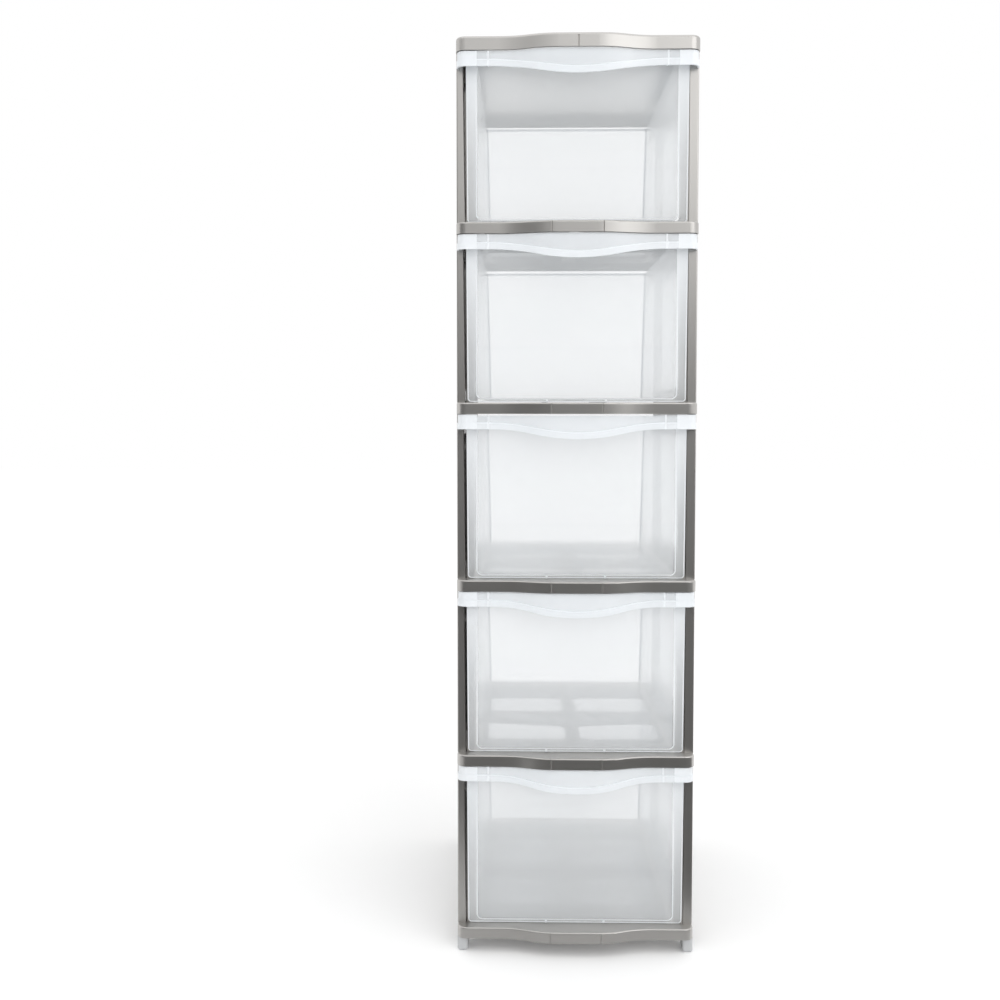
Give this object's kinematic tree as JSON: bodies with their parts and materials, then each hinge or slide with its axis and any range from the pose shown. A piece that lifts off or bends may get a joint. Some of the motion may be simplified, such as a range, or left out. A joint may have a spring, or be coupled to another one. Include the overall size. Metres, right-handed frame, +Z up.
{
  "type": "plastic drawer tower",
  "caption": "Tall slim tower of translucent drawers that slide in a silver plastic frame of bowed shelves and open side frames.",
  "frame": {"origin": "on the floor, under the middle of the tower's outer box", "axes": "+Z up; the drawers pull out towards -Y; +X to the right when looking at the drawer fronts"},
  "size_m": [0.264, 0.36, 1.009],
  "materials": {
    "silver_plastic": "satin silver-grey moulded polypropylene",
    "grey_plastic": "plain light grey moulded polypropylene",
    "clear_plastic": "milky clear moulded polypropylene"
  },
  "bodies": {
    "frame": {"top_cover": "silver_plastic", "shelf_1": "silver_plastic", "shelf_2": "silver_plastic", "shelf_3": "silver_plastic", "shelf_4": "silver_plastic", "base_shelf": "silver_plastic", "side_frame_left_1": "silver_plastic", "side_frame_right_1": "silver_plastic", "side_frame_left_2": "silver_plastic", "side_frame_right_2": "silver_plastic", "side_frame_left_3": "silver_plastic", "side_frame_right_3": "silver_plastic", "side_frame_left_4": "silver_plastic", "side_frame_right_4": "silver_plastic", "side_frame_left_5": "silver_plastic", "side_frame_right_5": "silver_plastic", "foot_front_left": "grey_plastic", "foot_front_right": "grey_plastic", "foot_rear_left": "grey_plastic", "foot_rear_right": "grey_plastic"},
    "drawer_1": {"drawer_1": "clear_plastic"},
    "drawer_2": {"drawer_2": "clear_plastic"},
    "drawer_3": {"drawer_3": "clear_plastic"},
    "drawer_4": {"drawer_4": "clear_plastic"},
    "drawer_5": {"drawer_5": "clear_plastic"}
  },
  "joints": [
    {"name": "drawer_1_slide", "type": "slide", "parent": "frame", "child": "drawer_1", "axis": [0, -1, 0], "range_m": [0, 0.27]},
    {"name": "drawer_2_slide", "type": "slide", "parent": "frame", "child": "drawer_2", "axis": [0, -1, 0], "range_m": [0, 0.27]},
    {"name": "drawer_3_slide", "type": "slide", "parent": "frame", "child": "drawer_3", "axis": [0, -1, 0], "range_m": [0, 0.27]},
    {"name": "drawer_4_slide", "type": "slide", "parent": "frame", "child": "drawer_4", "axis": [0, -1, 0], "range_m": [0, 0.27]},
    {"name": "drawer_5_slide", "type": "slide", "parent": "frame", "child": "drawer_5", "axis": [0, -1, 0], "range_m": [0, 0.27]}
  ]
}
